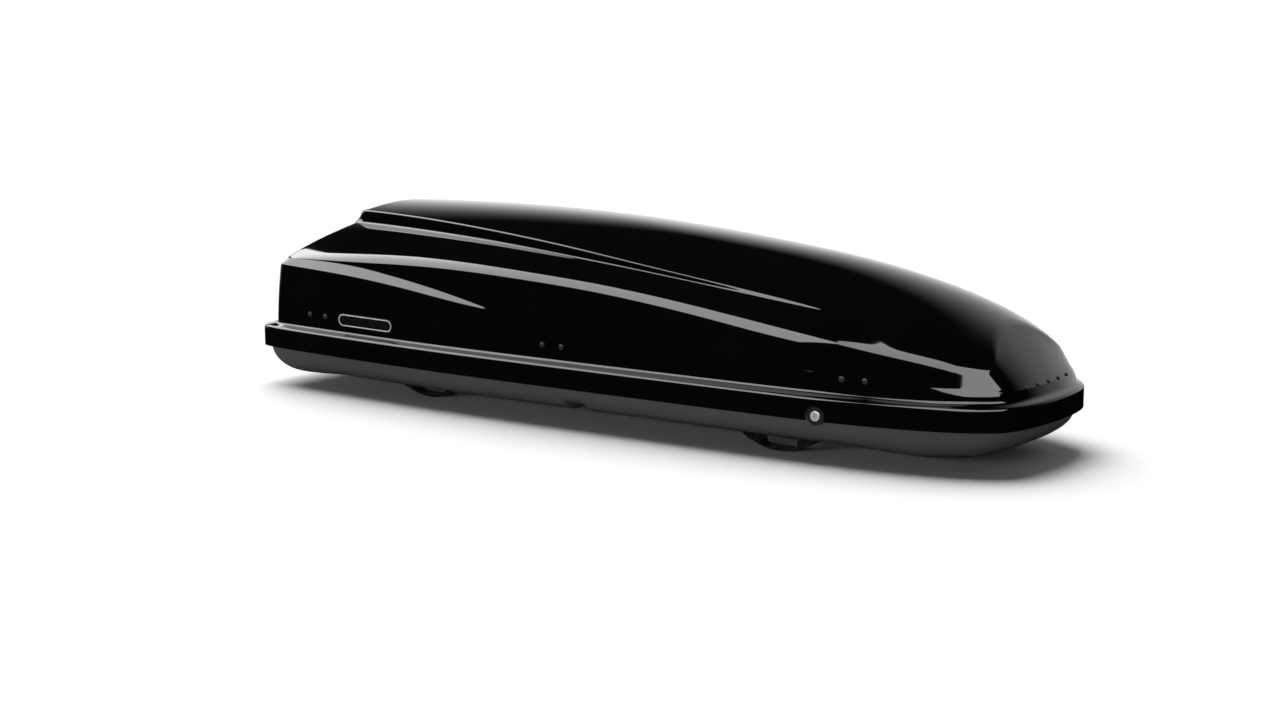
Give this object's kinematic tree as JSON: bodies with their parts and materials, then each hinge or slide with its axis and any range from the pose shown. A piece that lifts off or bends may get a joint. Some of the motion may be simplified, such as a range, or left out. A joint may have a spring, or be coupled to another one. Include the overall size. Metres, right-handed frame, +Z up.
{
  "type": "roof cargo box",
  "caption": "Long gloss-black roof cargo box with a tapering nose, side-opening lid with key lock, dark grey tub and claw clamps beneath for two roof bars.",
  "frame": {"origin": "middle of the length and width, at the bottom of the closed clamp jaws on which the box stands", "axes": "+X to the nose, +Z up, lock on the -Y side, lid hinges on the +Y side"},
  "size_m": [2.009, 0.735, 0.4433],
  "materials": {
    "gloss_black": "high-gloss black vacuum-formed ABS",
    "base_grey": "satin dark grey formed plastic",
    "black_plastic": "satin black moulded plastic",
    "rubber": "matt black rubber",
    "steel": "zinc-plated steel",
    "black_steel": "black-coated steel",
    "chrome": "bright nickel-plated lock face",
    "badge_silver": "plain silver and black badge"
  },
  "bodies": {
    "base": {"bar_guide_front": "black_plastic", "bar_guide_rear": "black_plastic", "bar_pad_front_far": "rubber", "bar_pad_front_near": "rubber", "bar_pad_rear_far": "rubber", "bar_pad_rear_near": "rubber", "base_shell": "base_grey", "clamp_body_front_far": "black_plastic", "clamp_body_front_near": "black_plastic", "clamp_body_rear_far": "black_plastic", "clamp_body_rear_near": "black_plastic", "hinge_bracket_front": "black_steel", "hinge_bracket_middle": "black_steel", "hinge_bracket_rear": "black_steel", "hinge_pin_front": "steel", "hinge_pin_middle": "steel", "hinge_pin_rear": "steel", "inner_plate_front_far": "steel", "inner_plate_front_near": "steel", "inner_plate_rear_far": "steel", "inner_plate_rear_near": "steel", "lock_housing": "black_plastic", "rim_seal": "rubber", "strut_base_bracket_front": "black_steel", "strut_base_bracket_rear": "black_steel"},
    "lid": {"badge": "badge_silver", "hinge_arm_front": "black_steel", "hinge_arm_middle": "black_steel", "hinge_arm_rear": "black_steel", "lid_shell": "gloss_black", "nose_bracket": "black_steel", "striker_front": "black_steel", "striker_middle": "black_steel", "striker_rear": "black_steel", "strut_lid_bracket_front": "black_steel", "strut_lid_bracket_rear": "black_steel"},
    "lock_cylinder": {"lock_barrel": "chrome", "lock_cam": "steel"},
    "lock_bar": {"lock_bar": "steel"},
    "strut_tube_rear": {"strut_tube_rear": "black_steel"},
    "strut_rod_rear": {"strut_rod_rear": "steel"},
    "strut_tube_front": {"strut_tube_front": "black_steel"},
    "strut_rod_front": {"strut_rod_front": "steel"},
    "clamp_knob_rear_near": {"clamp_knob_rear_near": "black_plastic"},
    "clamp_jaw_rear_rear_near": {"clamp_jaw_rear_rear_near": "black_plastic"},
    "clamp_jaw_front_rear_near": {"clamp_jaw_front_rear_near": "black_plastic"},
    "clamp_knob_rear_far": {"clamp_knob_rear_far": "black_plastic"},
    "clamp_jaw_rear_rear_far": {"clamp_jaw_rear_rear_far": "black_plastic"},
    "clamp_jaw_front_rear_far": {"clamp_jaw_front_rear_far": "black_plastic"},
    "clamp_knob_front_near": {"clamp_knob_front_near": "black_plastic"},
    "clamp_jaw_rear_front_near": {"clamp_jaw_rear_front_near": "black_plastic"},
    "clamp_jaw_front_front_near": {"clamp_jaw_front_front_near": "black_plastic"},
    "clamp_knob_front_far": {"clamp_knob_front_far": "black_plastic"},
    "clamp_jaw_rear_front_far": {"clamp_jaw_rear_front_far": "black_plastic"},
    "clamp_jaw_front_front_far": {"clamp_jaw_front_front_far": "black_plastic"}
  },
  "joints": [
    {"name": "lid_hinge", "type": "hinge", "parent": "base", "child": "lid", "pos_m": [0, 0.31, 0.096], "axis": [-1, 0, 0], "range_deg": [0, 50]},
    {"name": "lock_turn", "type": "hinge", "parent": "base", "child": "lock_cylinder", "pos_m": [0.59689, -0.29381, 0.1065], "axis": [-0.1173, 0.9931, 0], "range_deg": [0, 90]},
    {"name": "lock_bar_slide", "type": "slide", "parent": "base", "child": "lock_bar", "axis": [1, 0, 0], "range_m": [0, 0.02121]},
    {"name": "strut_tube_rear_pivot", "type": "hinge", "parent": "base", "child": "strut_tube_rear", "pos_m": [-0.8, 0.17978, 0.066], "axis": [-1, 0, 0], "range_deg": [0, 25.01]},
    {"name": "strut_rod_rear_slide", "type": "slide", "parent": "strut_tube_rear", "child": "strut_rod_rear", "axis": [0, 0.605, 0.7962], "range_m": [0, 0.05308]},
    {"name": "strut_tube_front_pivot", "type": "hinge", "parent": "base", "child": "strut_tube_front", "pos_m": [0.56, 0.17735, 0.066], "axis": [-1, 0, 0], "range_deg": [0, 25.01]},
    {"name": "strut_rod_front_slide", "type": "slide", "parent": "strut_tube_front", "child": "strut_rod_front", "axis": [0, 0.4162, 0.9093], "range_m": [0, 0.07596]},
    {"name": "clamp_knob_rear_near_turn", "type": "hinge", "parent": "base", "child": "clamp_knob_rear_near", "pos_m": [-0.539, -0.216, 0.054], "axis": [0, 0, 1], "range_deg": [0, 330]},
    {"name": "clamp_jaw_rear_rear_near_swing", "type": "hinge", "parent": "base", "child": "clamp_jaw_rear_rear_near", "pos_m": [-0.613, -0.216, 0.026], "axis": [0, 1, 0], "range_deg": [0, 55]},
    {"name": "clamp_jaw_front_rear_near_swing", "type": "hinge", "parent": "base", "child": "clamp_jaw_front_rear_near", "pos_m": [-0.465, -0.216, 0.026], "axis": [0, -1, 0], "range_deg": [0, 55]},
    {"name": "clamp_knob_rear_far_turn", "type": "hinge", "parent": "base", "child": "clamp_knob_rear_far", "pos_m": [-0.539, 0.216, 0.054], "axis": [0, 0, 1], "range_deg": [0, 330]},
    {"name": "clamp_jaw_rear_rear_far_swing", "type": "hinge", "parent": "base", "child": "clamp_jaw_rear_rear_far", "pos_m": [-0.613, 0.216, 0.026], "axis": [0, 1, 0], "range_deg": [0, 55]},
    {"name": "clamp_jaw_front_rear_far_swing", "type": "hinge", "parent": "base", "child": "clamp_jaw_front_rear_far", "pos_m": [-0.465, 0.216, 0.026], "axis": [0, -1, 0], "range_deg": [0, 55]},
    {"name": "clamp_knob_front_near_turn", "type": "hinge", "parent": "base", "child": "clamp_knob_front_near", "pos_m": [0.458, -0.216, 0.054], "axis": [0, 0, 1], "range_deg": [0, 330]},
    {"name": "clamp_jaw_rear_front_near_swing", "type": "hinge", "parent": "base", "child": "clamp_jaw_rear_front_near", "pos_m": [0.384, -0.216, 0.026], "axis": [0, 1, 0], "range_deg": [0, 55]},
    {"name": "clamp_jaw_front_front_near_swing", "type": "hinge", "parent": "base", "child": "clamp_jaw_front_front_near", "pos_m": [0.532, -0.216, 0.026], "axis": [0, -1, 0], "range_deg": [0, 55]},
    {"name": "clamp_knob_front_far_turn", "type": "hinge", "parent": "base", "child": "clamp_knob_front_far", "pos_m": [0.458, 0.216, 0.054], "axis": [0, 0, 1], "range_deg": [0, 330]},
    {"name": "clamp_jaw_rear_front_far_swing", "type": "hinge", "parent": "base", "child": "clamp_jaw_rear_front_far", "pos_m": [0.384, 0.216, 0.026], "axis": [0, 1, 0], "range_deg": [0, 55]},
    {"name": "clamp_jaw_front_front_far_swing", "type": "hinge", "parent": "base", "child": "clamp_jaw_front_front_far", "pos_m": [0.532, 0.216, 0.026], "axis": [0, -1, 0], "range_deg": [0, 55]}
  ],
  "couplings": [
    {"joint": "lock_turn", "follows": "lock_bar_slide", "rad_per_m": 74.05},
    {"joint": "strut_tube_rear_pivot", "follows": "lid_hinge", "ratio": 0.5},
    {"joint": "strut_rod_rear_slide", "follows": "lid_hinge", "m_per_rad": 0.060807},
    {"joint": "strut_tube_front_pivot", "follows": "lid_hinge", "ratio": 0.5},
    {"joint": "strut_rod_front_slide", "follows": "lid_hinge", "m_per_rad": 0.087024},
    {"joint": "clamp_jaw_rear_rear_near_swing", "follows": "clamp_knob_rear_near_turn", "ratio": 0.16667},
    {"joint": "clamp_jaw_front_rear_near_swing", "follows": "clamp_knob_rear_near_turn", "ratio": 0.16667},
    {"joint": "clamp_jaw_rear_rear_far_swing", "follows": "clamp_knob_rear_far_turn", "ratio": 0.16667},
    {"joint": "clamp_jaw_front_rear_far_swing", "follows": "clamp_knob_rear_far_turn", "ratio": 0.16667},
    {"joint": "clamp_jaw_rear_front_near_swing", "follows": "clamp_knob_front_near_turn", "ratio": 0.16667},
    {"joint": "clamp_jaw_front_front_near_swing", "follows": "clamp_knob_front_near_turn", "ratio": 0.16667},
    {"joint": "clamp_jaw_rear_front_far_swing", "follows": "clamp_knob_front_far_turn", "ratio": 0.16667},
    {"joint": "clamp_jaw_front_front_far_swing", "follows": "clamp_knob_front_far_turn", "ratio": 0.16667}
  ]
}
